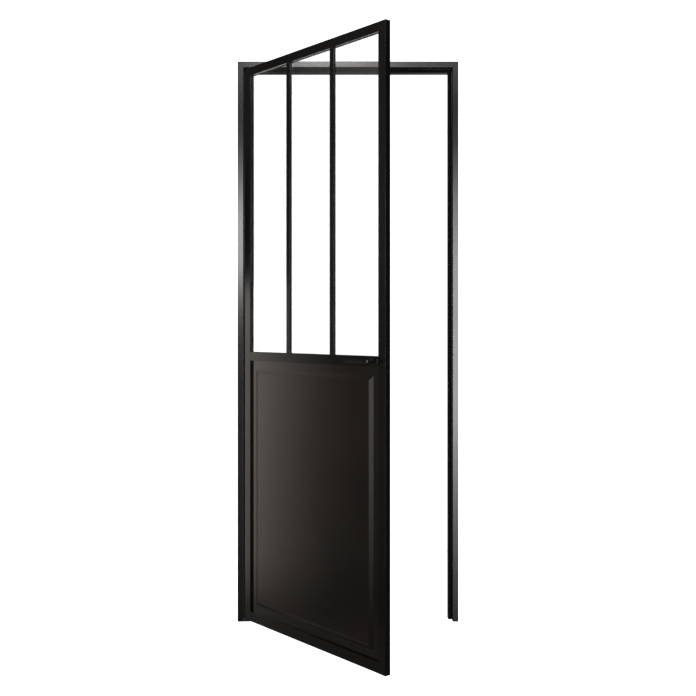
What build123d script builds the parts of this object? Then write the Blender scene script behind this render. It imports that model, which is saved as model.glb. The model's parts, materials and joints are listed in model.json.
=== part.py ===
from build123d import *
from math import cos, radians, sin
import os

# Steel-framed glass door, shown standing open. Millimetres, +Z up.
# X runs across the doorway from the hinge side, Y runs into the wall behind the frame's front faces.
# The origin is at floor level on the hinge jamb's outer face, in line with the front faces.

# Frame
frame_width = 820.0
frame_height = 2080.0
frame_depth = 60.0
jamb_face = 21.0
stop_width = 13.5
steel_wall = 1.5
corner_radius = 1.0
fixing_hole_radius = 4.5
fixing_from_floor = 250.0
fixing_from_top = 250.0

# Gaps round the leaf
hinge_gap = 8.0
lock_gap = 5.5
head_gap = 5.0
floor_gap = 7.0
closed_gap = 7.0

# Leaf
open_angle = 50.0
leaf_depth = 21.0
stile_face = 34.0
top_rail_face = 31.0
mid_rail_face = 33.0
bottom_rail_face = 35.0
mid_rail_top = 1003.0
rebate_lip = 8.0
lip_depth = 6.0

# Glazing
lite_count = 3
glazing_bar_face = 19.0
bar_web = 4.0
glass_thickness = 4.0
glass_edge_gap = 2.0
tape_thickness = 1.5
tape_inset = 0.5
bead_depth = 8.5
bead_wall = 1.2
bead_bevel = 1.5
rear_cap_depth = 2.0

# Raised panel
skin_thickness = 1.5
panel_margin_depth = 8.0
panel_raise = 7.5
panel_margin = 30.0
bevel_width = 15.0
pressing_radius = 2.0

# Pivots
pivot_from_edge = 8.0
pivot_from_front = 7.0
pivot_pin_radius = 4.0
running_clearance = 0.05
pivot_block_height = 40.0
pivot_plate_thickness = 4.0
pivot_plate_length = 40.0
foot_thickness = 3.0
foot_width = 18.0
foot_reach = 10.0
foot_corner_radius = 5.0
foot_tab_height = 60.0
washer_radius = 6.5
washer_play = 0.1
stile_cap_thickness = 3.0

# Lock and strike
latch_below_rail_top = 16.0
spindle_backset = 49.5
latch_case_height = 13.0
latch_case_depth = 14.0
latch_case_tail = 12.0
latch_bolt_height = 9.0
latch_bolt_depth = 9.0
latch_bolt_length = 14.0
faceplate_height = 80.0
faceplate_width = 14.0
strike_height = 100.0
strike_width = 14.0
plate_flange = 1.8
flange_thickness = 1.5
strike_hole_height = 18.0
strike_hole_width = 10.0

# Lever handles
rosette_length = 40.0
rosette_height = 20.0
rosette_depth = 8.0
rosette_corner = 5.0
rosette_bevel = 1.2
hub_radius = 6.5
hub_clearance = 0.3
spindle_size = 7.0
spindle_clearance = 0.55
spindle_engagement = 16.0
lever_stand_off = 40.0
lever_length = 112.0
lever_bar_height = 11.0
lever_bar_depth = 9.0
lever_elbow_radius = 12.0
lever_bevel = 1.5
lever_tip_round = 2.0
neck_length = 18.0

# Seals
seal_width = 9.0
seal_thickness = 2.0

os.makedirs("parts", exist_ok=True)


def finish(builder, label):
    builder.part.label = label
    export_step(builder.part, f"parts/{label}.step")


# Sizes that follow from the driving dimensions
opening_left = jamb_face
opening_right = frame_width - jamb_face
opening_top = frame_height - jamb_face
leaf_width = opening_right - opening_left - hinge_gap - lock_gap
leaf_bottom = floor_gap
leaf_top = opening_top - head_gap
leaf_height = leaf_top - leaf_bottom
stop_front = leaf_depth + closed_gap + seal_thickness
stop_back = frame_depth
pivot_x = opening_left + hinge_gap + pivot_from_edge
pivot_y = pivot_from_front
core_face = stile_face - rebate_lip
inner_left = stile_face
inner_right = leaf_width - stile_face
mid_rail_bottom = mid_rail_top - mid_rail_face
top_rail_bottom = leaf_top - top_rail_face
bottom_rail_top = leaf_bottom + bottom_rail_face
spindle_across = leaf_width - spindle_backset
latch_height = mid_rail_top - latch_below_rail_top
glass_front = lip_depth + tape_thickness
glass_back = glass_front + glass_thickness
bead_back = glass_back + bead_depth

# Directions of the open leaf: across its face, through its thickness, and towards the viewer
across = Vector(cos(radians(open_angle)), -sin(radians(open_angle)), 0)
through = Vector(sin(radians(open_angle)), cos(radians(open_angle)), 0)
up = Vector(0, 0, 1)
leaf_corner = Vector(pivot_x, pivot_y, 0) - across * pivot_from_edge - through * pivot_from_front


def leaf_point(along, back, height):
    return leaf_corner + across * along + through * back + up * height


def leaf_level(height):
    """Horizontal plane in the leaf: x along its face, y through its thickness."""
    return Plane(origin=leaf_point(0, 0, height), x_dir=across, z_dir=up)


def leaf_end(along):
    """Upright plane square to the leaf's face: x through its thickness, y up."""
    return Plane(origin=leaf_point(along, 0, 0), x_dir=through, z_dir=across)


def leaf_front(back):
    """Upright plane in the leaf's face, looking at the viewer: x along the face, y up."""
    return Plane(origin=leaf_point(0, back, 0), x_dir=across, z_dir=-through)


def leaf_box(along_0, along_1, back_0, back_1, height_0, height_1, mode=Mode.ADD):
    """Block in the leaf between two places along it, through it and up it."""
    with BuildSketch(leaf_level(height_0)) as base:
        with Locations(((along_0 + along_1) / 2, (back_0 + back_1) / 2)):
            Rectangle(along_1 - along_0, back_1 - back_0)
    extrude(base.sketch, amount=height_1 - height_0, mode=mode)


def frame_box(x_0, x_1, y_0, y_1, z_0, z_1, mode=Mode.ADD):
    """Block in the frame between two places along each axis."""
    with BuildSketch(Plane.XY.offset(z_0)) as base:
        with Locations(((x_0 + x_1) / 2, (y_0 + y_1) / 2)):
            Rectangle(x_1 - x_0, y_1 - y_0)
    extrude(base.sketch, amount=z_1 - z_0, mode=mode)


def hollow_section(corners, sharp):
    """Closed steel section with an even wall, rounded at all its corners but the sharp ones."""
    outline = Polygon(*corners, align=None)
    cavity = offset(outline, amount=-steel_wall, kind=Kind.INTERSECTION, mode=Mode.PRIVATE)
    rounded = [corner for corner in vertices()
               if all((Vector(corner) - Vector(*place)).length > steel_wall for place in sharp)]
    fillet(rounded, corner_radius)
    add(cavity, mode=Mode.SUBTRACT)


# Hollow frame sections, mitred at the top corners
def frame_section():
    """Section of a jamb or the head: a plain front part and a stop that stands into the opening."""
    wall_corner = (0, 0)
    notch = (jamb_face, stop_front)
    hollow_section([wall_corner, (jamb_face, 0), notch, (jamb_face + stop_width, stop_front),
                    (jamb_face + stop_width, stop_back), (0, stop_back)], [wall_corner, notch])


hinge_mitre = Plane(origin=(0, 0, frame_height), x_dir=(0, 1, 0), z_dir=(1, 0, 1))
lock_mitre = Plane(origin=(frame_width, 0, frame_height), x_dir=(0, 1, 0), z_dir=(-1, 0, 1))
fixing_across = (stop_front + stop_back) / 2
fixing_heights = [fixing_from_floor, frame_height - fixing_from_top]
foot_back = steel_wall + foot_width


def drill_fixings(face_plane):
    with BuildSketch(face_plane) as holes:
        with Locations(*[(fixing_across, height) for height in fixing_heights]):
            Circle(fixing_hole_radius)
    extrude(holes.sketch, amount=jamb_face + stop_width, mode=Mode.SUBTRACT)


with BuildPart() as hinge_jamb:
    with BuildSketch(Plane.XY):
        frame_section()
    extrude(amount=frame_height)
    split(bisect_by=hinge_mitre, keep=Keep.BOTTOM)
    drill_fixings(Plane.YZ)
    frame_box(opening_left - steel_wall, opening_left, steel_wall, foot_back, 0, foot_thickness,
              mode=Mode.SUBTRACT)
finish(hinge_jamb, "hinge_jamb")

strike_centre = pivot_y - pivot_from_front + leaf_depth / 2
strike_low = latch_height - strike_height / 2
strike_high = latch_height + strike_height / 2
strike_front = strike_centre - strike_width / 2
strike_rear = strike_centre + strike_width / 2

with BuildPart() as lock_jamb:
    with BuildSketch(Plane(origin=(frame_width, 0, 0), x_dir=(-1, 0, 0), z_dir=(0, 0, -1))):
        frame_section()
    extrude(amount=-frame_height)
    split(bisect_by=lock_mitre, keep=Keep.BOTTOM)
    drill_fixings(Plane.YZ.offset(frame_width - jamb_face - stop_width))
    frame_box(opening_right, opening_right + steel_wall, strike_front, strike_rear,
              strike_low, strike_high, mode=Mode.SUBTRACT)
finish(lock_jamb, "lock_jamb")

with BuildPart() as head:
    with BuildSketch(Plane(origin=(0, 0, frame_height), x_dir=(0, 0, -1), z_dir=(1, 0, 0))):
        frame_section()
    extrude(amount=frame_width)
    split(bisect_by=hinge_mitre, keep=Keep.TOP)
    split(bisect_by=lock_mitre, keep=Keep.TOP)
    with BuildSketch(Plane.XY.offset(opening_top)):
        with Locations((pivot_x, pivot_y)):
            Circle(pivot_pin_radius + 1.0)
    extrude(amount=steel_wall, mode=Mode.SUBTRACT)
finish(head, "head")

# Rubber seals on the front of the stop
seal_front = stop_front - seal_thickness
seal_inset = (stop_width - seal_width) / 2
seal_top = opening_top - seal_inset
stop_sides = {"hinge_side_seal": opening_left + stop_width / 2,
              "lock_side_seal": opening_right - stop_width / 2}

for label, centre in stop_sides.items():
    with BuildPart() as side_seal:
        frame_box(centre - seal_width / 2, centre + seal_width / 2, seal_front, stop_front, 0, seal_top)
        fillet(side_seal.edges().filter_by(Axis.Z).group_by(Axis.Y)[0], seal_thickness * 0.4)
    finish(side_seal, label)

with BuildPart() as head_seal:
    frame_box(opening_left + seal_inset + seal_width, opening_right - seal_inset - seal_width,
              seal_front, stop_front, seal_top - seal_width, seal_top)
    fillet(head_seal.edges().filter_by(Axis.X).group_by(Axis.Y)[0], seal_thickness * 0.4)
finish(head_seal, "head_seal")

# Strike: a pad flush in the lock jamb with a flange behind the wall and a hole for the latch
with BuildPart() as strike_plate:
    frame_box(opening_right, opening_right + steel_wall, strike_front, strike_rear, strike_low, strike_high)
    frame_box(opening_right + steel_wall, opening_right + steel_wall + flange_thickness,
              strike_front - plate_flange, strike_rear + plate_flange,
              strike_low - plate_flange, strike_high + plate_flange)
    frame_box(opening_right, opening_right + steel_wall + flange_thickness,
              strike_centre - strike_hole_width / 2, strike_centre + strike_hole_width / 2,
              latch_height - strike_hole_height / 2, latch_height + strike_hole_height / 2,
              mode=Mode.SUBTRACT)
finish(strike_plate, "strike_plate")

# Foot pivot: a plate let through the hinge jamb, a tab inside the jamb, and the pin the leaf turns on
block_bottom = leaf_bottom + pivot_block_height
bore_depth = pivot_block_height / 2

with BuildPart() as foot_pivot:
    frame_box(steel_wall, pivot_x + foot_reach, steel_wall, foot_back, 0, foot_thickness)
    fillet(foot_pivot.edges().filter_by(Axis.Z).group_by(Axis.X)[-1], foot_corner_radius)
    frame_box(opening_left - steel_wall - foot_thickness, opening_left - steel_wall,
              steel_wall, foot_back, foot_thickness, foot_tab_height)
    with BuildSketch(Plane.XY.offset(foot_thickness)):
        with Locations((pivot_x, pivot_y)):
            Circle(pivot_pin_radius)
    extrude(amount=leaf_bottom + bore_depth - 1 - foot_thickness)
    chamfer(foot_pivot.edges().filter_by(GeomType.CIRCLE).sort_by(Axis.Z)[-1], 0.8)
finish(foot_pivot, "foot_pivot")

with BuildPart() as pivot_washer:
    with BuildSketch(Plane.XY.offset(foot_thickness)):
        with Locations((pivot_x, pivot_y)):
            Circle(washer_radius)
            Circle(pivot_pin_radius + running_clearance, mode=Mode.SUBTRACT)
    extrude(amount=leaf_bottom - washer_play - foot_thickness)
finish(pivot_washer, "pivot_washer")

# Head pivot: a plate inside the head that holds the leaf's upper pin
head_plate_low = opening_top + steel_wall
with BuildPart() as head_pivot_plate:
    frame_box(pivot_x - pivot_plate_length / 3, pivot_x + pivot_plate_length * 2 / 3,
              steel_wall, foot_back, head_plate_low, head_plate_low + pivot_plate_thickness)
    with BuildSketch(Plane.XY.offset(head_plate_low)):
        with Locations((pivot_x, pivot_y)):
            Circle(pivot_pin_radius + running_clearance)
    extrude(amount=pivot_plate_thickness, mode=Mode.SUBTRACT)
finish(head_pivot_plate, "head_pivot_plate")


# Hollow leaf sections with a rebate lip along the front
def leaf_section(face):
    """Section of a stile or rail: a hollow core and a hollow lip that covers the infill's edge."""
    notch = (face - rebate_lip, lip_depth)
    hollow_section([(0, 0), (face, 0), (face, lip_depth), notch, (face - rebate_lip, leaf_depth),
                    (0, leaf_depth)], [notch])


def rail_plane(along, height, direction):
    """Plane for a rail's section: x up or down from its outer edge, y through the leaf."""
    return Plane(origin=leaf_point(along, 0, height), x_dir=up * direction, z_dir=across * -direction)


rail_start = core_face
rail_length = leaf_width - 2 * core_face
case_low = latch_height - latch_case_height / 2
case_high = latch_height + latch_case_height / 2
case_front = (leaf_depth - latch_case_depth) / 2
case_rear = (leaf_depth + latch_case_depth) / 2


def cope_ends(height_0, height_1):
    """Cuts a rail's ends back so that they butt against the stiles' front lips."""
    leaf_box(core_face, stile_face, 0, lip_depth, height_0, height_1, mode=Mode.SUBTRACT)
    leaf_box(inner_right, leaf_width - core_face, 0, lip_depth, height_0, height_1, mode=Mode.SUBTRACT)


with BuildPart() as hinge_stile:
    with BuildSketch(leaf_level(leaf_bottom)):
        leaf_section(stile_face)
    extrude(amount=leaf_height)
finish(hinge_stile, "hinge_stile")

faceplate_low = latch_height - faceplate_height / 2
faceplate_high = latch_height + faceplate_height / 2
faceplate_front = (leaf_depth - faceplate_width) / 2
faceplate_rear = (leaf_depth + faceplate_width) / 2

with BuildPart() as lock_stile:
    with BuildSketch(Plane(origin=leaf_point(leaf_width, 0, leaf_bottom), x_dir=-across, z_dir=-up)):
        leaf_section(stile_face)
    extrude(amount=-leaf_height)
    leaf_box(leaf_width - steel_wall, leaf_width, faceplate_front, faceplate_rear,
             faceplate_low, faceplate_high, mode=Mode.SUBTRACT)
    leaf_box(inner_right, leaf_width - core_face + steel_wall, case_front, case_rear,
             case_low, case_high, mode=Mode.SUBTRACT)
finish(lock_stile, "lock_stile")

with BuildPart() as top_rail:
    with BuildSketch(rail_plane(rail_start, leaf_top, -1)):
        leaf_section(top_rail_face)
    extrude(amount=rail_length)
    cope_ends(top_rail_bottom, leaf_top)
finish(top_rail, "top_rail")

with BuildPart() as bottom_rail:
    with BuildSketch(rail_plane(rail_start, leaf_bottom, 1)):
        leaf_section(bottom_rail_face)
    extrude(amount=-rail_length)
    cope_ends(leaf_bottom, bottom_rail_top)
finish(bottom_rail, "bottom_rail")

# The mid rail has a lip above for the glass and one below for the panel
mid_core_low = mid_rail_bottom + rebate_lip
mid_core_high = mid_rail_top - rebate_lip
with BuildPart() as mid_rail:
    with BuildSketch(leaf_end(rail_start)):
        notches = [(lip_depth, mid_core_low), (lip_depth, mid_core_high)]
        hollow_section([(0, mid_rail_bottom), (lip_depth, mid_rail_bottom), notches[0],
                        (leaf_depth, mid_core_low), (leaf_depth, mid_core_high), notches[1],
                        (lip_depth, mid_rail_top), (0, mid_rail_top)], notches)
    extrude(amount=rail_length)
    cope_ends(mid_rail_bottom, mid_rail_top)
    with BuildSketch(leaf_front(0)):
        with Locations((spindle_across, latch_height)):
            Circle(spindle_size * 0.7071 + spindle_clearance)
    extrude(amount=-leaf_depth, mode=Mode.SUBTRACT)
finish(mid_rail, "mid_rail")

# Glazing bars: a flat front with a web that stands between the panes
lite_low = mid_rail_top
lite_high = top_rail_bottom
lite_width = (inner_right - inner_left - (lite_count - 1) * glazing_bar_face) / lite_count
bar_centres = [inner_left + (index + 1) * lite_width + (index + 0.5) * glazing_bar_face
               for index in range(lite_count - 1)]
bar_names = ["hinge_side", "lock_side"]
glass_low = mid_core_high + glass_edge_gap
glass_high = leaf_top - (top_rail_face - rebate_lip) - glass_edge_gap
web_low = mid_core_high
web_high = leaf_top - (top_rail_face - rebate_lip)

for name, centre in zip(bar_names, bar_centres):
    with BuildPart() as glazing_bar:
        leaf_box(centre - glazing_bar_face / 2, centre + glazing_bar_face / 2, 0, lip_depth,
                 lite_low, lite_high)
        fillet(glazing_bar.edges().filter_by(Axis.Z), corner_radius)
        leaf_box(centre - bar_web / 2, centre + bar_web / 2, lip_depth, glass_back, web_low, web_high)
    finish(glazing_bar, f"{name}_glazing_bar")

    with BuildPart() as rear_cap:
        leaf_box(centre - glazing_bar_face / 2, centre + glazing_bar_face / 2,
                 glass_back, glass_back + rear_cap_depth, web_low + rebate_lip, web_high - rebate_lip)
        chamfer(rear_cap.faces().sort_by(Axis((0, 0, 0), through))[-1].edges().filter_by(Axis.Z),
                rear_cap_depth / 2)
    finish(rear_cap, f"{name}_rear_cap")

# Panes of toughened glass, each on a ring of black tape behind the lips
pane_names = ["hinge_side", "centre", "lock_side"]
web_edges = [core_face] + bar_centres + [leaf_width - core_face]
sight_edges = [inner_left] + bar_centres + [inner_right]
tape_low = lite_low - tape_inset
tape_high = lite_high + tape_inset
for index, name in enumerate(pane_names):
    beside_bar = [bar_web / 2 if index > 0 else 0, bar_web / 2 if index < lite_count - 1 else 0]
    bar_half = [glazing_bar_face / 2 if index > 0 else 0,
                glazing_bar_face / 2 if index < lite_count - 1 else 0]
    pane_left = web_edges[index] + beside_bar[0] + glass_edge_gap
    pane_right = web_edges[index + 1] - beside_bar[1] - glass_edge_gap
    with BuildPart() as pane:
        leaf_box(pane_left, pane_right, glass_front, glass_back, glass_low, glass_high)
    finish(pane, f"{name}_pane")

    with BuildPart() as tape:
        leaf_box(pane_left, pane_right, lip_depth, glass_front, glass_low, glass_high)
        leaf_box(sight_edges[index] + bar_half[0] - tape_inset, sight_edges[index + 1] - bar_half[1]
                 + tape_inset, lip_depth, glass_front, tape_low, tape_high, mode=Mode.SUBTRACT)
    finish(tape, f"{name}_tape")

# Channel beads, mitred at their corners, that hold the glass and the panel from behind
bead_face = rebate_lip


def bead_section(depth):
    """Section of a bead: x away from the core its open side lies on, y through the leaf."""
    Polygon((0, 0), (bead_face, 0), (bead_face, depth - bead_bevel), (bead_face - bead_bevel, depth),
            (0, depth), align=None)
    Polygon((0, bead_wall), (bead_face - bead_wall, bead_wall), (bead_face - bead_wall, depth - bead_wall),
            (0, depth - bead_wall), align=None, mode=Mode.SUBTRACT)


def mitred_bead(front, back, corner, run, inward, length):
    """Bead that starts at a corner of the rebate, runs along one side and widens inward."""
    plane = Plane(origin=leaf_point(corner[0], front, corner[1]), x_dir=inward, z_dir=inward.cross(through))
    start = Plane(origin=plane.origin, x_dir=through, z_dir=run - inward)
    end = Plane(origin=plane.origin + run * length, x_dir=through, z_dir=-run - inward)
    with BuildSketch(plane) as section:
        bead_section(back - front)
    extrude(section.sketch, amount=length * (1 if run.dot(plane.z_dir) > 0 else -1))
    split(bisect_by=start, keep=Keep.TOP)
    split(bisect_by=end, keep=Keep.TOP)


rebate_left = core_face
rebate_right = leaf_width - core_face
rebate_span = rebate_right - rebate_left
glass_beads = {"hinge_side_bead": ((rebate_left, web_low), up, across, web_high - web_low),
               "lock_side_bead": ((rebate_right, web_low), up, -across, web_high - web_low),
               "top_bead": ((rebate_left, web_high), across, -up, rebate_span),
               "sill_bead": ((rebate_left, web_low), across, up, rebate_span)}
for label, (corner, run, inward, length) in glass_beads.items():
    with BuildPart() as bead:
        mitred_bead(glass_back, bead_back, corner, run, inward, length)
    finish(bead, label)

# Raised panel pressed from two steel skins, held between a front and a rear bead
panel_left = core_face + glass_edge_gap
panel_right = leaf_width - core_face - glass_edge_gap
panel_low = leaf_bottom + bottom_rail_face - rebate_lip + glass_edge_gap
panel_high = mid_core_low - glass_edge_gap
panel_across = (panel_left + panel_right) / 2
panel_up = (panel_low + panel_high) / 2
field_half_width = (inner_right - inner_left) / 2 - panel_margin
field_half_height = (mid_rail_bottom - bottom_rail_top) / 2 - panel_margin
field_up = (mid_rail_bottom + bottom_rail_top) / 2


def raised_field(base_back, raise_by, inset, mode):
    """Flat-topped field with a bevel on each side; a positive raise_by stands towards the viewer."""
    half_width = field_half_width - inset
    half_height = field_half_height - inset
    top_back = base_back - raise_by
    with BuildPart(mode=Mode.PRIVATE) as field:
        with BuildSketch(leaf_level(field_up - half_height)) as plan:
            Polygon((panel_across - half_width, base_back), (panel_across + half_width, base_back),
                    (panel_across + half_width - bevel_width, top_back),
                    (panel_across - half_width + bevel_width, top_back), align=None)
        extrude(plan.sketch, amount=2 * half_height)
        with BuildSketch(leaf_end(panel_across - half_width)) as side:
            Polygon((base_back, field_up - half_height), (base_back, field_up + half_height),
                    (top_back, field_up + half_height - bevel_width),
                    (top_back, field_up - half_height + bevel_width), align=None)
        extrude(side.sketch, amount=2 * half_width, mode=Mode.INTERSECT)
        top = field.faces().sort_by(Axis((0, 0, 0), through * raise_by))[0]
        fillet(top.edges(), pressing_radius)
    add(field.part, mode=mode)


def panel_skin(margin_back, direction):
    """One pressed skin: flat margin, bevels and raised field, with softened creases."""
    outer = margin_back
    inner = margin_back + skin_thickness * direction
    leaf_box(panel_left, panel_right, min(outer, inner), max(outer, inner), panel_low, panel_high)
    raised_field(outer, panel_raise * direction, 0, Mode.ADD)
    raised_field(inner, panel_raise * direction, skin_thickness / 2, Mode.SUBTRACT)


panel_middle = panel_margin_depth + skin_thickness
with BuildPart() as panel_front_skin:
    panel_skin(panel_margin_depth, 1)
finish(panel_front_skin, "panel_front_skin")
with BuildPart() as panel_rear_skin:
    panel_skin(panel_middle + skin_thickness, -1)
finish(panel_rear_skin, "panel_rear_skin")

ring_low = leaf_bottom + bottom_rail_face - rebate_lip
ring_high = mid_core_low
ring_sides = [((rebate_left, ring_low), up, across, ring_high - ring_low),
              ((rebate_right, ring_low), up, -across, ring_high - ring_low),
              ((rebate_left, ring_high), across, -up, rebate_span),
              ((rebate_left, ring_low), across, up, rebate_span)]

with BuildPart() as panel_front_bead:
    leaf_box(rebate_left, rebate_right, lip_depth, panel_margin_depth, ring_low, ring_high)
    leaf_box(rebate_left + bead_face, rebate_right - bead_face, lip_depth, panel_margin_depth,
             ring_low + bead_face, ring_high - bead_face, mode=Mode.SUBTRACT)
finish(panel_front_bead, "panel_front_bead")

panel_bead_front = panel_middle + skin_thickness
with BuildPart() as panel_rear_bead:
    for corner, run, inward, length in ring_sides:
        with BuildPart(mode=Mode.PRIVATE) as side:
            mitred_bead(panel_bead_front, bead_back, corner, run, inward, length)
        add(side.part)
finish(panel_rear_bead, "panel_rear_bead")

# Blocks in the ends of the stiles: pivot blocks at the hinge side, plain caps at the lock side
cavity_start = steel_wall
cavity_end = core_face - steel_wall


def stile_plug(start, end, low, high):
    leaf_box(start, end, steel_wall, leaf_depth - steel_wall, low, high)


with BuildPart() as lower_pivot_block:
    stile_plug(cavity_start, cavity_end, leaf_bottom, block_bottom)
    with BuildSketch(Plane.XY.offset(leaf_bottom)):
        with Locations((pivot_x, pivot_y)):
            Circle(pivot_pin_radius + running_clearance)
    extrude(amount=bore_depth, mode=Mode.SUBTRACT)
finish(lower_pivot_block, "lower_pivot_block")

with BuildPart() as upper_pivot_block:
    stile_plug(cavity_start, cavity_end, leaf_top - pivot_block_height, leaf_top)
    with BuildSketch(Plane.XY.offset(leaf_top)):
        with Locations((pivot_x, pivot_y)):
            Circle(pivot_pin_radius)
    extrude(amount=head_plate_low + pivot_plate_thickness + 1 - leaf_top)
    chamfer(upper_pivot_block.edges().filter_by(GeomType.CIRCLE).sort_by(Axis.Z)[-1], 0.8)
finish(upper_pivot_block, "upper_pivot_block")

for label, low in (("lower_stile_cap", leaf_bottom), ("upper_stile_cap", leaf_top - stile_cap_thickness)):
    with BuildPart() as stile_cap:
        stile_plug(leaf_width - cavity_end, leaf_width - cavity_start, low, low + stile_cap_thickness)
    finish(stile_cap, label)

# Slim latch: faceplate flush in the lock edge, case in the mid rail, bolt drawn in
faceplate_back = leaf_width - steel_wall - flange_thickness
with BuildPart() as faceplate:
    leaf_box(leaf_width - steel_wall, leaf_width, faceplate_front, faceplate_rear,
             faceplate_low, faceplate_high)
    leaf_box(faceplate_back, leaf_width - steel_wall, faceplate_front - plate_flange,
             faceplate_rear + plate_flange, faceplate_low - plate_flange, faceplate_high + plate_flange)
    leaf_box(faceplate_back, leaf_width, (leaf_depth - latch_bolt_depth) / 2,
             (leaf_depth + latch_bolt_depth) / 2, latch_height - latch_bolt_height / 2,
             latch_height + latch_bolt_height / 2, mode=Mode.SUBTRACT)
finish(faceplate, "faceplate")

with BuildPart() as latch_case:
    leaf_box(spindle_across - latch_case_tail, faceplate_back, case_front, case_rear, case_low, case_high)
    leaf_box(leaf_width - latch_bolt_length, faceplate_back, (leaf_depth - latch_bolt_depth) / 2,
             (leaf_depth + latch_bolt_depth) / 2, latch_height - latch_bolt_height / 2,
             latch_height + latch_bolt_height / 2, mode=Mode.SUBTRACT)
    with BuildSketch(leaf_front(case_front)):
        with Locations((spindle_across, latch_height)):
            Circle(spindle_size * 0.7071 + spindle_clearance)
    extrude(amount=-latch_case_depth, mode=Mode.SUBTRACT)
finish(latch_case, "latch_case")

with BuildPart() as latch_bolt:
    leaf_box(leaf_width - latch_bolt_length, leaf_width, (leaf_depth - latch_bolt_depth) / 2,
             (leaf_depth + latch_bolt_depth) / 2, latch_height - latch_bolt_height / 2,
             latch_height + latch_bolt_height / 2)
finish(latch_bolt, "latch_bolt")


# Rosettes on both faces, bevelled round their fronts
def rosette(surface_back, direction):
    with BuildSketch(leaf_front(surface_back)) as outline:
        with Locations((spindle_across, latch_height)):
            RectangleRounded(rosette_length, rosette_height, rosette_corner)
            Circle(hub_radius + hub_clearance, mode=Mode.SUBTRACT)
    extrude(outline.sketch, amount=rosette_depth * direction)
    outer_face = faces().sort_by(Axis((0, 0, 0), -through * direction))[-1]
    chamfer(outer_face.outer_wire().edges(), rosette_bevel)


with BuildPart() as front_rosette:
    rosette(0, 1)
finish(front_rosette, "front_rosette")
with BuildPart() as rear_rosette:
    rosette(leaf_depth, -1)
finish(rear_rosette, "rear_rosette")


# Lever handles: a round neck, then one bevelled bar that turns through an elbow to its tip
def lever(surface_back, direction):
    """Lever on one face; direction is 1 for the viewer's side and -1 for the other."""
    neck_end = surface_back - neck_length * direction
    bar_back = surface_back - (lever_stand_off - lever_bar_depth / 2) * direction
    tip_along = spindle_across + hub_radius - lever_length
    with BuildSketch(leaf_front(surface_back - hub_clearance * direction)) as neck:
        with Locations((spindle_across, latch_height)):
            Circle(hub_radius)
    extrude(neck.sketch, amount=(neck_length - hub_clearance) * direction)
    with BuildSketch(leaf_front(neck_end)) as bar_section:
        with Locations((spindle_across, latch_height)):
            Rectangle(lever_bar_depth, lever_bar_height)
        chamfer(vertices(), lever_bevel)
    with BuildLine(leaf_level(latch_height)) as path:
        FilletPolyline((spindle_across, neck_end), (spindle_across, bar_back), (tip_along, bar_back),
                       radius=lever_elbow_radius)
    sweep(bar_section.sketch, path=path.line)
    tip_face = faces().sort_by(Axis((0, 0, 0), across))[0]
    fillet(tip_face.edges(), lever_tip_round)
    with BuildSketch(leaf_front(surface_back)) as socket:
        with Locations((spindle_across, latch_height)):
            Rectangle(spindle_size, spindle_size)
    extrude(socket.sketch, amount=spindle_engagement * direction, mode=Mode.SUBTRACT)


with BuildPart() as front_lever:
    lever(0, 1)
finish(front_lever, "front_lever")
with BuildPart() as rear_lever:
    lever(leaf_depth, -1)
finish(rear_lever, "rear_lever")

with BuildPart() as spindle:
    with BuildSketch(leaf_front(-spindle_engagement)):
        with Locations((spindle_across, latch_height)):
            Rectangle(spindle_size, spindle_size)
    extrude(amount=-(leaf_depth + 2 * spindle_engagement))
finish(spindle, "spindle")
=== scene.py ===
import json
import math

import bmesh
import bpy
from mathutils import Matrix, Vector


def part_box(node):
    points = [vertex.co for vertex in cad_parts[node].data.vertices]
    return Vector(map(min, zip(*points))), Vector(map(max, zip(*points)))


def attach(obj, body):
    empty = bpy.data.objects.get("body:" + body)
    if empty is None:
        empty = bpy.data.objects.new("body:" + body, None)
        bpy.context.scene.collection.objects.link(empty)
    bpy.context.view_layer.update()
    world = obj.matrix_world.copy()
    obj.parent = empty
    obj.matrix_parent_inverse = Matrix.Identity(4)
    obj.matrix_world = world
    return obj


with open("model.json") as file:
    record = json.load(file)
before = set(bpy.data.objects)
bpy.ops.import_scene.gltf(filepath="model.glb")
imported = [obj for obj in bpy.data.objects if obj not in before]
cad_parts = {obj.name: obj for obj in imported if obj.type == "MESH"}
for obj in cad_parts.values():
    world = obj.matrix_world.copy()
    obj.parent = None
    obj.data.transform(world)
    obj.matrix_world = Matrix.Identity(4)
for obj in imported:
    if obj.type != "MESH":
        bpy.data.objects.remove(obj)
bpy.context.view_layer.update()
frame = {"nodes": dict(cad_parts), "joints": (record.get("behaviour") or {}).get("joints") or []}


# Jambs and head
# The frame is three hollow steel sections with a stop folded into them, mitred and welded at the top corners
# and ground flush. It is sprayed with black polyester powder and baked, which leaves a very fine orange peel
# and a tone and gloss that drift a little from place to place.
def fill(socket, value):
    """Gives an input its number or colour, or links it to another node's output."""
    if isinstance(value, bpy.types.NodeSocket):
        socket.id_data.links.new(value, socket)
    else:
        socket.default_value = value


def feed(node, **values):
    for label, value in values.items():
        fill(node.inputs[label.replace("_", " ")], value)


def add_node(tree, kind, settings=None, **values):
    """New node with its settings made first and its inputs fed by name."""
    made = tree.nodes.new(kind)
    for key, value in (settings or {}).items():
        setattr(made, key, value)
    feed(made, **values)
    return made


def add_math(tree, operation, *values):
    """Result of a new Math node whose inputs take the values in order."""
    made = add_node(tree, "ShaderNodeMath", {"operation": operation})
    for socket, value in zip(made.inputs, values):
        fill(socket, value)
    return made.outputs["Value"]


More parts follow.
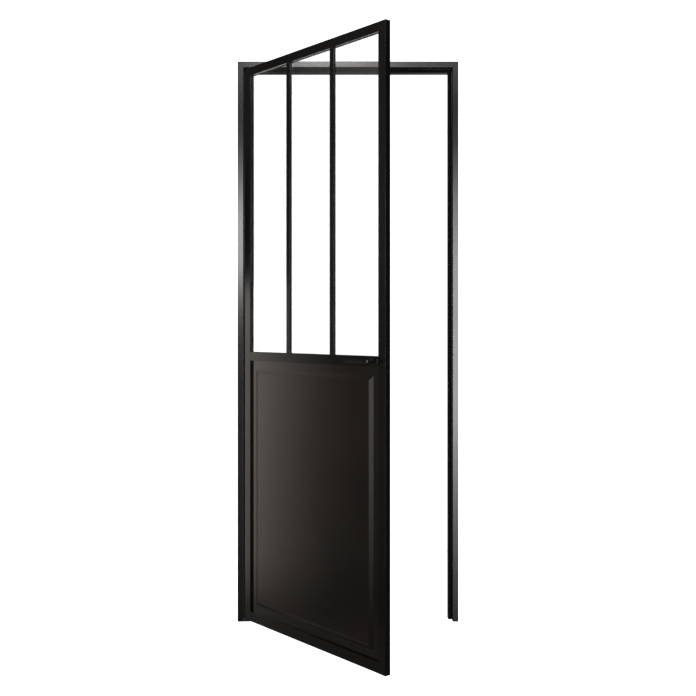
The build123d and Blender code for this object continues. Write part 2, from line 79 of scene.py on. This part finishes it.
def new_group(name, inputs, outputs):
    """Node group with named sockets: inputs maps a name to its default value, outputs to a socket type."""
    group = bpy.data.node_groups.new(name, "ShaderNodeTree")
    for label, value in inputs.items():
        kind = "NodeSocketColor" if isinstance(value, tuple) else "NodeSocketFloat"
        group.interface.new_socket(name=label, in_out="INPUT", socket_type=kind).default_value = value
    for label, kind in outputs.items():
        group.interface.new_socket(name=label, in_out="OUTPUT", socket_type=kind)
    return group, group.nodes.new("NodeGroupInput").outputs, group.nodes.new("NodeGroupOutput")


CLOUD_SCALE, SPECKLE_SCALE, SPECKLE_SHARE = 6.0, 260.0, 0.35
PEEL_STRENGTH, PEEL_DEPTH = 0.15, 0.0004
coat_group, coat_in, coat_out = new_group(
    "powder_coat",
    {"Dark": (0.004, 0.004, 0.004, 1), "Light": (0.008, 0.008, 0.008, 1), "Gloss": 0.3, "Gloss Drift": 0.06,
     "Peel Scale": 900.0, "Peel": 0.1},
    {"Color": "NodeSocketColor", "Roughness": "NodeSocketFloat", "Height": "NodeSocketFloat"})
coat_place = add_node(coat_group, "ShaderNodeTexCoord").outputs["Object"]
cloud = add_node(coat_group, "ShaderNodeTexNoise", Vector=coat_place, Scale=CLOUD_SCALE, Detail=4.0,
                 Roughness=0.55).outputs["Fac"]
speckle = add_node(coat_group, "ShaderNodeTexNoise", Vector=coat_place, Scale=SPECKLE_SCALE,
                   Detail=2.0).outputs["Fac"]
orange_peel = add_node(coat_group, "ShaderNodeTexNoise", Vector=coat_place, Scale=coat_in["Peel Scale"], Detail=3.0,
                       Roughness=0.5).outputs["Fac"]
tint = add_node(coat_group, "ShaderNodeMix", {"data_type": "RGBA"}, A=coat_in["Dark"], B=coat_in["Light"],
                Factor=add_math(coat_group, "MULTIPLY_ADD", speckle, SPECKLE_SHARE, cloud))
feed(coat_out, Color=tint.outputs["Result"],
     Roughness=add_math(coat_group, "MULTIPLY_ADD", cloud, coat_in["Gloss Drift"], coat_in["Gloss"]),
     Height=add_math(coat_group, "MULTIPLY", orange_peel, coat_in["Peel"]))


def new_material(name):
    material = bpy.data.materials.new(name)
    material.use_nodes = True
    return material, material.node_tree, material.node_tree.nodes["Principled BSDF"]


def coated(name, dark, light, gloss, drift_by=0.06, peel_scale=900.0, peel_by=0.1, **shine):
    """Powder coat or moulded skin between a dark and a light tone. shine feeds the shader itself."""
    material, tree, shader = new_material(name)
    coat = add_node(tree, "ShaderNodeGroup", {"node_tree": coat_group}, Dark=(*dark, 1), Light=(*light, 1),
                    Gloss=gloss, Gloss_Drift=drift_by, Peel_Scale=peel_scale, Peel=peel_by).outputs
    bumped = add_node(tree, "ShaderNodeBump", Strength=PEEL_STRENGTH, Distance=PEEL_DEPTH, Height=coat["Height"])
    feed(shader, Base_Color=coat["Color"], Roughness=coat["Roughness"], Normal=bumped.outputs["Normal"], **shine)
    return material


nodes = frame["nodes"]


def dress(material, *names):
    for name in names:
        finishes = nodes[name].data.materials
        finishes.clear()
        finishes.append(material)


frame_black = coated("frame_black", (0.0014, 0.0014, 0.0014), (0.0030, 0.0030, 0.0029), 0.16, drift_by=0.05)
dress(frame_black, "hinge_jamb", "lock_jamb", "head")
# The hinge stile mirrors the lit wall, as in the photo, and not the jamb beside it.
nodes["hinge_jamb"].visible_glossy = False

# Caps over the frame fixings
# Each frame anchor is driven through a hole in the stop and hidden by a push-in cap of black nylon. The cap
# has a thin domed head with a rounded rim, and a stem that grips the hole.
FIXING_HEIGHTS = (0.25, 1.83)
FIXING_BACK = 0.045
CAP_RADIUS, CAP_HEAD, CAP_ROUND = 0.0065, 0.0014, 0.0007
CAP_DOME_RIM, CAP_DOME = 0.003, 0.0002
CAP_STEM, CAP_STEM_RADIUS, CAP_STEM_TAPER = 0.0038, 0.0044, 0.9
X_AXIS, Z_AXIS = Vector((1, 0, 0)), Vector((0, 0, 1))


def pick_only(piece):
    bpy.ops.object.select_all(action="DESELECT")
    piece.select_set(True)
    bpy.context.view_layer.objects.active = piece


def begin_shaping():
    """Puts the place and size of the primitive just added into its mesh, and opens it for shaping."""
    piece = bpy.context.active_object
    pick_only(piece)
    bpy.ops.object.transform_apply(location=True, rotation=True, scale=True)
    bpy.ops.object.mode_set(mode="EDIT")
    return piece


def pick_parts(piece, kind, wanted):
    """Selects the faces or the edges of an open piece for which wanted(part) is true."""
    mesh = bmesh.from_edit_mesh(piece.data)
    chosen = [part for part in getattr(mesh, kind) if wanted(part)]
    bpy.ops.mesh.select_all(action="DESELECT")
    for part in chosen:
        part.select_set(True)
    bmesh.update_edit_mesh(piece.data)


def pick_flat(piece, facing):
    """Selects the faces of an open piece that look along facing, to within a few degrees."""
    pick_parts(piece, "faces", lambda face: face.normal.dot(facing) > 0.99)


def pick_rim(piece, height):
    """Selects the edges of an open piece that lie above a height."""
    pick_parts(piece, "edges", lambda edge: all(vertex.co.z > height for vertex in edge.verts))


def finish_piece(piece, name, material, body):
    """Names a piece, gives it its finish, and puts its place and turn into its mesh."""
    pick_only(piece)
    bpy.ops.object.transform_apply(location=True, rotation=True, scale=True)
    bpy.ops.object.shade_smooth_by_angle(angle=math.radians(30))
    piece.name = name
    piece.data.name = name
    piece.data.materials.clear()
    piece.data.materials.append(material)
    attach(piece, body)


def turn_to(piece, place, facing):
    piece.location = place
    piece.rotation_euler = facing.to_track_quat("Z", "Y").to_euler()


def copy_to(piece, place, facing):
    """Copy of an unplaced piece, with its own mesh, whose own +Z is turned to facing."""
    pick_only(piece)
    bpy.ops.object.duplicate()
    twin = bpy.context.active_object
    turn_to(twin, place, facing)
    return twin


def throw_away(piece):
    pick_only(piece)
    bpy.ops.object.delete()


bpy.ops.mesh.primitive_cylinder_add(vertices=32, radius=CAP_RADIUS, depth=CAP_HEAD,
                                    location=(0, 0, CAP_HEAD / 2))
fixing_cap = begin_shaping()
pick_rim(fixing_cap, CAP_HEAD * 0.9)
bpy.ops.mesh.bevel(offset=CAP_ROUND, segments=3, affect="EDGES")
pick_flat(fixing_cap, Z_AXIS)
bpy.ops.mesh.inset(thickness=CAP_DOME_RIM)
bpy.ops.transform.translate(value=(0, 0, CAP_DOME))
pick_flat(fixing_cap, -Z_AXIS)
bpy.ops.mesh.inset(thickness=CAP_RADIUS - CAP_STEM_RADIUS)
bpy.ops.mesh.extrude_region_move(TRANSFORM_OT_translate={"value": (0, 0, -CAP_STEM)})
bpy.ops.transform.resize(value=(CAP_STEM_TAPER, CAP_STEM_TAPER, 1))
bpy.ops.object.mode_set(mode="OBJECT")

cap_nylon = coated("cap_nylon", (0.006, 0.006, 0.006), (0.010, 0.010, 0.010), 0.42, peel_scale=1600.0)
for side, facing in (("hinge", X_AXIS), ("lock", -X_AXIS)):
    jamb_low, jamb_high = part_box(f"{side}_jamb")
    stop_face = jamb_high[0] if facing.x > 0 else jamb_low[0]
    for level, height in zip(("low", "high"), FIXING_HEIGHTS):
        cap = copy_to(fixing_cap, (stop_face, FIXING_BACK, height), facing)
        finish_piece(cap, f"{side}_jamb_{level}_fixing_cap", cap_nylon, "frame")
throw_away(fixing_cap)

# Seals on the stop
# An extruded strip of black rubber is glued round the front of the stop on a thin flat base, and the closed
# leaf lands on it. Its skin is matt and takes hardly any shine.
JAMB_FACE, STOP_FRONT = 0.021, 0.030
BASE_WIDTH, BASE_DEPTH, BASE_INSET, BASE_EASE = 0.0125, 0.0005, 0.0005, 0.0002
Y_AXIS = Vector((0, 1, 0))
seal_rubber = coated("seal_rubber", (0.0014, 0.0014, 0.0014), (0.0030, 0.0030, 0.0030), 0.62, peel_scale=500.0,
                     Specular_IOR_Level=0.04)
dress(seal_rubber, "hinge_side_seal", "lock_side_seal", "head_seal")


def seal_base(name, low_x, high_x, low_z, high_z):
    """Thin flat strip on the front of the stop, with its front edges eased."""
    middle = ((low_x + high_x) / 2, STOP_FRONT - BASE_DEPTH / 2, (low_z + high_z) / 2)
    bpy.ops.mesh.primitive_cube_add(size=1, location=middle, scale=(high_x - low_x, BASE_DEPTH, high_z - low_z))
    strip = begin_shaping()
    pick_flat(strip, -Y_AXIS)
    bpy.ops.mesh.bevel(offset=BASE_EASE, segments=2, affect="EDGES")
    bpy.ops.object.mode_set(mode="OBJECT")
    finish_piece(strip, name, seal_rubber, "frame")


frame_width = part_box("lock_jamb")[1][0]
base_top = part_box("head")[1][2] - JAMB_FACE - BASE_INSET
side_in, side_out = JAMB_FACE + BASE_INSET, JAMB_FACE + BASE_INSET + BASE_WIDTH
seal_base("hinge_side_seal_base", side_in, side_out, BASE_INSET, base_top)
seal_base("lock_side_seal_base", frame_width - side_out, frame_width - side_in, BASE_INSET, base_top)
seal_base("head_seal_base", side_out, frame_width - side_out, base_top - BASE_WIDTH, base_top)

# Strike
# A stamped and blackened steel plate, let in flush with the lock jamb and held from behind by its flange.
# Two countersunk screws with hexagon sockets pull it tight.
HEAD_DEPTH, SHANK_SHARE, HEAD_EASE, HEAD_DISH = 0.9, 0.45, 0.06, 0.3    # shares of a screw head's radius
SCREW_DOME, SOCKET_DEPTH = 0.00015, 0.0011
PLATE_SCREW, PLATE_SOCKET = 0.0035, 0.0013
STRIKE_SCREW_OFFSETS = (-0.040, 0.040)


def countersunk_screw(radius, socket_radius, shank=0.002):
    """Screw whose head lies flush at z = 0 and widens to radius, with a hexagon socket sunk into it."""
    depth = radius * HEAD_DEPTH
    bpy.ops.mesh.primitive_cylinder_add(vertices=24, radius=radius, depth=depth, location=(0, 0, -depth / 2))
    screw = begin_shaping()
    pick_flat(screw, -Z_AXIS)
    bpy.ops.transform.resize(value=(SHANK_SHARE, SHANK_SHARE, 1))
    bpy.ops.mesh.extrude_region_move(TRANSFORM_OT_translate={"value": (0, 0, -shank)})
    pick_flat(screw, Z_AXIS)
    bpy.ops.mesh.bevel(offset=radius * HEAD_EASE, segments=2, affect="EDGES")
    pick_flat(screw, Z_AXIS)
    bpy.ops.mesh.inset(thickness=radius * HEAD_DISH)
    bpy.ops.transform.translate(value=(0, 0, SCREW_DOME))
    bpy.ops.object.mode_set(mode="OBJECT")
    bpy.ops.mesh.primitive_cylinder_add(vertices=6, radius=socket_radius, depth=2 * SOCKET_DEPTH)
    key = bpy.context.active_object
    pick_only(screw)
    cut = screw.modifiers.new("socket", "BOOLEAN")
    cut.object = key
    cut.operation = "DIFFERENCE"
    cut.solver = "EXACT"
    bpy.ops.object.modifier_apply(modifier="socket")
    throw_away(key)
    return screw


def join_as_one(pieces):
    pick_only(pieces[0])
    for piece in pieces:
        piece.select_set(True)
    bpy.ops.object.transform_apply(location=True, rotation=True, scale=True)
    bpy.ops.object.join()
    return bpy.context.active_object


blackened_steel = coated("blackened_steel", (0.0014, 0.0014, 0.0015), (0.0040, 0.0038, 0.0038), 0.24, peel_by=0.05,
                         Specular_IOR_Level=0.2)
dress(blackened_steel, "strike_plate")
screw_steel = coated("screw_black_zinc", (0.004, 0.004, 0.0043), (0.010, 0.010, 0.0105), 0.30, peel_by=0.03,
                     Metallic=0.6)
flush_screw = countersunk_screw(PLATE_SCREW, PLATE_SOCKET)
strike_low, strike_high = (Vector(corner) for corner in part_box("strike_plate"))
strike_middle = (strike_low + strike_high) / 2
strike_middle.x = strike_low.x
strike_screws = [copy_to(flush_screw, strike_middle + Z_AXIS * offset, -X_AXIS) for offset in STRIKE_SCREW_OFFSETS]
finish_piece(join_as_one(strike_screws), "strike_screws", screw_steel, "frame")

# Foot pivot and head pivot
# A blackened steel plate is let through the foot of the hinge jamb and carries the pin, and a nylon washer
# takes the leaf's weight. One flush screw fixes the plate to the floor. The head plate is inside the head.
FOOT_SCREW, FOOT_SOCKET, FOOT_SHANK = 0.0030, 0.0012, 0.0001
FOOT_SCREW_PLACE = (0.0262, 0.0105, 0.003)
dress(blackened_steel, "foot_pivot", "head_pivot_plate")
# The foot of the same stile mirrors the wall too, and not the plate before it.
nodes["foot_pivot"].visible_glossy = False
washer_nylon = coated("washer_nylon", (0.010, 0.010, 0.010), (0.015, 0.015, 0.014), 0.45, peel_scale=1600.0)
dress(washer_nylon, "pivot_washer")
foot_screw = countersunk_screw(FOOT_SCREW, FOOT_SOCKET, shank=FOOT_SHANK)
turn_to(foot_screw, FOOT_SCREW_PLACE, Z_AXIS)
finish_piece(foot_screw, "foot_pivot_screw", screw_steel, "frame")

# Stiles and rails of the leaf
# Cold-formed hollow sections with a lip along the front, welded together, ground and powder coated. The
# leaf's coat is a little browner and duller than the frame's.
LEAF_WIDTH, LEAF_DEPTH, STILE_FACE, REBATE_LIP = 0.7645, 0.021, 0.034, 0.008
PIVOT_FROM_EDGE, PIVOT_FROM_FRONT = 0.008, 0.007
leaf_pivot, lever_turn = frame["joints"]
through = -Vector(lever_turn["axis"]).normalized()
across = Vector((through.y, -through.x, 0))
leaf_corner = Vector(leaf_pivot["pos_m"]) - across * PIVOT_FROM_EDGE - through * PIVOT_FROM_FRONT
leaf_corner.z = 0


def on_leaf(along, back, height):
    """Point in the leaf: along its face from the hinge edge, back from its front face, and up."""
    return leaf_corner + across * along + through * back + Z_AXIS * height


leaf_black = coated("leaf_black", (0.0009, 0.00085, 0.0008), (0.0020, 0.0019, 0.0018), 0.14, drift_by=0.05,
                    Specular_IOR_Level=0.33)
dress(leaf_black, "hinge_stile", "lock_stile", "top_rail", "mid_rail", "bottom_rail")

# Plug in the lock stile
# A small steel plug with a raised rim closes a hole in the lock stile's face, just above the mid rail. It is
# pressed in and coated with the leaf.
PLUG_ALONG, PLUG_HEIGHT = 0.7493, 1.0114
PLUG_RADIUS, PLUG_DEPTH, PLUG_PROUD = 0.0045, 0.002, 0.0005
PLUG_ROUND, PLUG_RIM, PLUG_STEP, PLUG_SINK = 0.0003, 0.0011, 0.0003, 0.0006
bpy.ops.mesh.primitive_cylinder_add(vertices=32, radius=PLUG_RADIUS, depth=PLUG_DEPTH,
                                    location=(0, 0, PLUG_PROUD - PLUG_DEPTH / 2))
stile_plug = begin_shaping()
pick_rim(stile_plug, PLUG_PROUD * 0.8)
bpy.ops.mesh.bevel(offset=PLUG_ROUND, segments=2, affect="EDGES")
pick_flat(stile_plug, Z_AXIS)
bpy.ops.mesh.inset(thickness=PLUG_RIM)
bpy.ops.mesh.inset(thickness=PLUG_STEP)
bpy.ops.transform.translate(value=(0, 0, -PLUG_SINK))
bpy.ops.object.mode_set(mode="OBJECT")
turn_to(stile_plug, on_leaf(PLUG_ALONG, 0, PLUG_HEIGHT), -through)
finish_piece(stile_plug, "lock_stile_plug", leaf_black, "leaf")

# Panes and their tape
# Three panes of 4 mm toughened float glass, bedded on black butyl tape behind the lips. The glass has the
# slight green of float, the faintest wipe marks, and a clear hard coat that mirrors the wall more strongly.
glass, glass_tree, glass_shader = new_material("clear_glass")
glass_place = add_node(glass_tree, "ShaderNodeTexCoord").outputs["Object"]
wipe_marks = add_node(glass_tree, "ShaderNodeTexNoise", Vector=glass_place, Scale=5.0, Detail=3.0)
wipe_gloss = add_node(glass_tree, "ShaderNodeMapRange", Value=wipe_marks.outputs["Fac"], From_Min=0.45,
                      From_Max=0.8, To_Min=0.0, To_Max=0.012)
feed(glass_shader, Base_Color=(0.985, 0.992, 0.987, 1), IOR=1.5, Transmission_Weight=1.0,
     Roughness=wipe_gloss.outputs["Result"], Coat_Weight=1.0, Coat_Roughness=0.0, Coat_IOR=1.9)
dress(glass, "hinge_side_pane", "centre_pane", "lock_side_pane")
butyl = coated("glazing_butyl", (0.003, 0.003, 0.003), (0.006, 0.006, 0.006), 0.5, peel_scale=700.0)
dress(butyl, "hinge_side_tape", "centre_tape", "lock_side_tape")

# Glazing bars and their rear caps
# Each bar is a flat steel strip with a web welded behind it, and a thin cap closes it from the back. Small
# flush screws go through the cap into the web.
BAR_FACE = 0.019
CAP_BACK = 0.0135
LITE_LOW, LITE_HIGH = 1.003, 2.023
CAP_SCREW_SHARES = (0.06, 0.28, 0.5, 0.72, 0.94)
SMALL_SCREW, SMALL_SOCKET = 0.0024, 0.0009
dress(leaf_black, "hinge_side_glazing_bar", "lock_side_glazing_bar", "hinge_side_rear_cap", "lock_side_rear_cap")
lite_width = (LEAF_WIDTH - 2 * STILE_FACE - 2 * BAR_FACE) / 3
small_screw = countersunk_screw(SMALL_SCREW, SMALL_SOCKET)
for index, side in enumerate(("hinge_side", "lock_side")):
    bar_middle = STILE_FACE + (index + 1) * lite_width + (index + 0.5) * BAR_FACE
    screws = [copy_to(small_screw, on_leaf(bar_middle, CAP_BACK, LITE_LOW + (LITE_HIGH - LITE_LOW) * share), through)
              for share in CAP_SCREW_SHARES]
    finish_piece(join_as_one(screws), f"{side}_cap_screws", screw_steel, "leaf")

# Beads
# Thin steel channels, mitred at the corners, stand round the glass and the panel on the back of the leaf.
# Screws through their inner faces hold them to the stiles and rails.
BEAD_FACE, BEAD_MIDDLE = 0.008, 0.0155
BEAD_RINGS = {"glass": (0.995, 2.031), "panel": (0.034, 0.978)}
dress(leaf_black, "hinge_side_bead", "lock_side_bead", "top_bead", "sill_bead", "panel_front_bead",
      "panel_rear_bead")


def screw_row(name, along_0, along_1, height_0, height_1, facing, count):
    """Row of small screws along one bead, from one place to another, with their heads towards facing."""
    screws = []
    for index in range(count):
        share = (index + 0.5) / count
        spot = on_leaf(along_0 + (along_1 - along_0) * share, BEAD_MIDDLE, height_0 + (height_1 - height_0) * share)
        screws.append(copy_to(small_screw, spot, facing))
    finish_piece(join_as_one(screws), name, screw_steel, "leaf")


left = STILE_FACE - REBATE_LIP + BEAD_FACE
right = LEAF_WIDTH - left
for name, (ring_low, ring_high) in BEAD_RINGS.items():
    bottom, top = ring_low + BEAD_FACE, ring_high - BEAD_FACE
    screw_row(f"{name}_hinge_side_bead_screws", left, left, bottom, top, across, 5)
    screw_row(f"{name}_lock_side_bead_screws", right, right, bottom, top, -across, 5)
    screw_row(f"{name}_top_bead_screws", left, right, top, top, -Z_AXIS, 3)
    screw_row(f"{name}_bottom_bead_screws", left, right, bottom, bottom, Z_AXIS, 3)
throw_away(small_screw)

# Raised panel
# Two steel skins, each pressed with a bevelled field, lie back to back in the lower part of the leaf. Their
# coat is laid thinner over the pressing than on the rails round it, and its shine is warmer.
panel_black = coated("panel_black", (0.0014, 0.0010, 0.0008), (0.0030, 0.0022, 0.0017), 0.16, drift_by=0.05,
                     Specular_Tint=(1.0, 0.95, 0.89, 1))
dress(panel_black, "panel_front_skin", "panel_rear_skin")

# Ends of the stiles
# Pivot blocks of blackened steel fill the hinge stile's ends and take the pins. Plain moulded caps close the
# lock stile.
dress(blackened_steel, "lower_pivot_block", "upper_pivot_block")
dress(cap_nylon, "lower_stile_cap", "upper_stile_cap")

# Latch
# The steel faceplate is coated with the leaf and lies flush in its lock edge, held by two flush screws. The
# bolt is drawn in behind it, and the case is out of sight in the mid rail.
LATCH_HEIGHT = lever_turn["pos_m"][2]
FACEPLATE_SCREW_OFFSETS = (-0.030, 0.030)
dress(leaf_black, "faceplate")
dress(blackened_steel, "latch_case", "latch_bolt")
plate_screws = [copy_to(flush_screw, on_leaf(LEAF_WIDTH, LEAF_DEPTH / 2, LATCH_HEIGHT + offset), across)
                for offset in FACEPLATE_SCREW_OFFSETS]
finish_piece(join_as_one(plate_screws), "faceplate_screws", screw_steel, "leaf")
throw_away(flush_screw)

# Levers and rosettes
# Cast zinc, linished and coated in a smoother satin black than the leaf. A grub screw under each neck holds
# the lever to its square spindle.
SPINDLE_ALONG, HUB_RADIUS, GRUB_OUT = 0.715, 0.0065, 0.0135
GRUB_SCREW, GRUB_SOCKET = 0.0019, 0.0008
handle_black = coated("handle_black", (0.0012, 0.0012, 0.0012), (0.0028, 0.0028, 0.0028), 0.20, peel_by=0.04,
                      Specular_IOR_Level=0.3)
dress(handle_black, "front_lever", "rear_lever", "front_rosette", "rear_rosette")
dress(blackened_steel, "spindle")
grub_screw = countersunk_screw(GRUB_SCREW, GRUB_SOCKET)
for side, hub_middle in (("front", -GRUB_OUT), ("rear", LEAF_DEPTH + GRUB_OUT)):
    grub = copy_to(grub_screw, on_leaf(SPINDLE_ALONG, hub_middle, LATCH_HEIGHT - HUB_RADIUS), -Z_AXIS)
    finish_piece(grub, f"{side}_lever_grub_screw", screw_steel, "lever")
throw_away(grub_screw)

# Studio floor and wall
# The door stands on a pale lit floor before a white wall. Both are seen directly and through one pane or
# more, while the coats mirror a dim room instead, lit a little from above, below and behind.
FLOOR_GLOW, WALL_GLOW, ROOM_GLOW = 1.25, 1.5, 0.02
FAR_FLOOR_WAY, FAR_FLOOR_HALF, FAR_FLOOR_GLOW = -0.26, 0.08, 0.05
bpy.ops.mesh.primitive_plane_add(size=30, location=(0.4, 3.0, -0.001))
floor = bpy.context.active_object
floor.name = "floor"
floor_paint, _, floor_shader = new_material("pale_floor")
feed(floor_shader, Base_Color=(0.9, 0.9, 0.9, 1), Roughness=0.8, Emission_Color=(1, 1, 1, 1),
     Emission_Strength=FLOOR_GLOW)
floor.data.materials.append(floor_paint)
floor.visible_glossy = False
floor.visible_shadow = False

world = bpy.data.worlds.new("studio")
bpy.context.scene.world = world
world.use_nodes = True
room = world.node_tree
ray = add_node(room, "ShaderNodeLightPath").outputs
unmirrored = add_math(room, "LESS_THAN", ray["Glossy Depth"], 0.5)
through_pane = add_math(room, "MULTIPLY", ray["Is Transmission Ray"], unmirrored)
wall_seen = add_math(room, "MAXIMUM", ray["Is Camera Ray"], through_pane)
ray_way = add_node(room, "ShaderNodeTexCoord").outputs["Generated"]
way_parts = add_node(room, "ShaderNodeSeparateXYZ", Vector=ray_way).outputs


def way_share(axis, start, end, low=0.0, high=1.0):
    """Share that rises smoothly with one part of the ray's way, between two values of it."""
    share = add_node(room, "ShaderNodeMapRange", {"interpolation_type": "SMOOTHSTEP"}, Value=way_parts[axis],
                     From_Min=start, From_Max=end, To_Min=low, To_Max=high)
    return share.outputs["Result"]


far_floor = add_math(room, "MULTIPLY", add_math(room, "COMPARE", way_parts["Z"], FAR_FLOOR_WAY, FAR_FLOOR_HALF),
                     add_math(room, "GREATER_THAN", way_parts["Y"], 0.9))
back_right = add_math(room, "MULTIPLY", way_share("X", 0.0, 0.25), way_share("Y", -0.05, 0.25, high=0.55))
back_left = add_math(room, "MULTIPLY", way_share("X", -0.22, -0.32, high=0.24), way_share("Y", 0.70, 0.85))
below = add_math(room, "MULTIPLY", way_share("Z", -0.42, -0.60), way_share("X", -0.55, -0.46, low=0.05, high=0.7))
above = add_math(room, "MULTIPLY", way_share("Z", 0.42, 0.70), way_share("X", -0.55, -0.25, low=0.05, high=0.55))
dim_room = add_math(room, "ADD", ROOM_GLOW, add_math(room, "MULTIPLY", far_floor, FAR_FLOOR_GLOW))
for share in (back_right, back_left, below, above):
    dim_room = add_math(room, "MAXIMUM", dim_room, share)
glow = add_node(room, "ShaderNodeMix", Factor=wall_seen, A=dim_room, B=WALL_GLOW)
feed(room.nodes["Background"], Color=(1, 1, 1, 1), Strength=glow.outputs["Result"])
bpy.context.scene.view_settings.view_transform = "Standard"

# Studio lights
# Soft lights hang on the left and stand in line with the camera. A black coat shows hardly anything but its
# shine, so each light has a graded diffuser that draws one long shine of the photo from end to end.
LEFT_X, FRONT_Y = -3.0, -3.58
WARM, PLAIN = (1, 0.93, 0.87), (1, 1, 1)


def add_softbox(name, low, high, radiance, tint, **grades):
    """Soft light that fills the box from low to high, flat in x or in y. grades gives, for an axis, the
    places along it and the share of the light there."""
    low, high = Vector(low), Vector(high)
    bpy.ops.object.light_add(type="AREA", location=(low + high) / 2)
    lamp = bpy.context.active_object
    lamp.name = name
    lamp.visible_camera = False
    lamp.visible_transmission = False
    facing = X_AXIS if high.x == low.x else Y_AXIS
    lamp.rotation_euler = facing.to_track_quat("-Z", "Y").to_euler()
    light = lamp.data
    light.shape = "RECTANGLE"
    light.size = max(high.x - low.x, high.y - low.y)
    light.size_y = high.z - low.z
    light.energy = radiance * light.size * light.size_y * 4
    light.color = tint
    light.use_nodes = True
    tree = light.node_tree
    lit_place = add_node(tree, "ShaderNodeNewGeometry").outputs["Position"]
    place_parts = add_node(tree, "ShaderNodeSeparateXYZ", Vector=lit_place).outputs
    total = 1.0
    for axis, stops in grades.items():
        start, end = stops[0][0], stops[-1][0]
        along = add_node(tree, "ShaderNodeMapRange", Value=place_parts[axis], From_Min=start, From_Max=end)
        ramp = add_node(tree, "ShaderNodeValToRGB", Fac=along.outputs["Result"])
        elements = ramp.color_ramp.elements
        while len(elements) < len(stops):
            elements.new(0.5)
        for element, (stop, share) in zip(elements, stops):
            element.position = (stop - start) / (end - start)
            element.color = (share, share, share, 1)
        total = add_math(tree, "MULTIPLY", total, ramp.outputs["Color"])
    feed(tree.nodes["Emission"], Strength=total)


add_softbox("left_wall", (LEFT_X, -0.7, -0.95), (LEFT_X, 1.35, 1.42), 1.1, WARM,
            Y=((-0.7, 0.13), (-0.12, 0.13), (0.0, 0.03), (0.15, 0.02), (0.21, 0.045), (0.30, 0.11), (0.44, 0.29),
               (0.58, 0.53), (0.71, 0.81), (0.78, 1.02), (0.86, 1.6), (1.35, 1.65)),
            Z=((-0.95, 0.06), (-0.83, 0.20), (-0.70, 0.48), (-0.53, 0.70), (0.23, 0.89), (0.60, 1.0), (0.90, 1.0),
               (1.20, 1.3), (1.34, 1.4), (1.42, 0.1)))
add_softbox("left_foot", (LEFT_X, -0.7, -1.9), (LEFT_X, 0.95, -0.95), 0.10, WARM,
            Y=((-0.7, 1.0), (0.30, 1.0), (0.62, 1.4), (0.80, 3.4), (0.95, 3.6)))
add_softbox("left_dim", (LEFT_X, -0.7, 1.42), (LEFT_X, 0.95, 3.5), 0.12, WARM,
            Y=((-0.7, 2.0), (-0.12, 2.0), (0.22, 1.5), (0.44, 1.1), (0.55, 0.4), (0.80, 0.3), (0.95, 0.3)),
            Z=((1.42, 1.0), (3.5, 0.6)))
add_softbox("left_high", (LEFT_X, 0.96, 2.3), (LEFT_X, 2.2, 3.6), 1.3, WARM,
            Y=((0.96, 0.10), (1.10, 0.28), (1.30, 0.65), (1.47, 0.92), (2.2, 1.0)))
add_softbox("left_low", (LEFT_X, 0.95, -3.6), (LEFT_X, 2.2, -1.9), 0.35, WARM,
            Y=((0.95, 0.2), (1.9, 1.0), (2.2, 1.0)))
add_softbox("left_corner", (-3.9, FRONT_Y, -1.1), (-2.1, FRONT_Y, 0.9), 1.6, PLAIN,
            Z=((-1.1, 0.05), (0.7, 1.0), (0.9, 1.0)),
            X=((-3.9, 0.5), (-3.0, 0.6), (-2.8, 1.0), (-2.1, 1.0)))
add_softbox("front_fill", (-0.1, FRONT_Y, -0.9), (1.0, FRONT_Y, 2.3), 2.0, PLAIN,
            Z=((-0.9, 0.4), (0.5, 1.0), (2.3, 1.0)))
add_softbox("front_high", (-0.47, FRONT_Y, 2.4), (1.42, FRONT_Y, 3.3), 16.0, PLAIN,
            Z=((2.4, 0.10), (2.88, 0.12), (2.98, 1.0), (3.3, 1.0)),
            X=((-0.47, 0.11), (-0.12, 0.13), (-0.036, 0.36), (0.05, 1.05), (0.112, 1.25), (0.261, 1.02),
               (0.409, 0.74), (0.557, 0.61), (0.70, 0.46), (0.78, 0.14), (1.42, 0.12)))
add_softbox("left_jamb_shine", (-0.50, FRONT_Y, 0.9), (-0.19, FRONT_Y, 2.4), 16.0, PLAIN,
            Z=((0.9, 0.02), (1.10, 0.03), (1.25, 0.10), (1.44, 0.43), (1.56, 0.90), (1.68, 1.0), (1.85, 0.92),
               (2.03, 0.60), (2.22, 0.22), (2.4, 0.11)))
add_softbox("right_jamb_shine", (1.10, FRONT_Y, -1.1), (1.42, FRONT_Y, 2.4), 12.5, PLAIN,
            Z=((-1.1, 0.06), (-0.57, 0.19), (-0.20, 0.38), (0.17, 0.72), (0.50, 1.0), (1.50, 0.95), (1.66, 0.85),
               (1.85, 0.70), (2.03, 0.46), (2.26, 0.20), (2.4, 0.11)))

# Camera
# It stands level in front of the doorway, a little over the height of the middle rail, because the photo's
# upright lines are parallel. A small shift frames the door as the photo does.
CAMERA_PLACE = (0.355, -3.5654, 1.1002)
SENSOR_WIDTH, LENS_LENGTH = 36.0, 49.66
SHIFT_ACROSS, SHIFT_UP = 0.0213, -0.0325
bpy.ops.object.camera_add(location=CAMERA_PLACE, rotation=(math.radians(90), 0, 0))
camera = bpy.context.active_object
camera.data.sensor_width = SENSOR_WIDTH
camera.data.lens = LENS_LENGTH
camera.data.shift_x = SHIFT_ACROSS
camera.data.shift_y = SHIFT_UP
bpy.context.scene.camera = camera
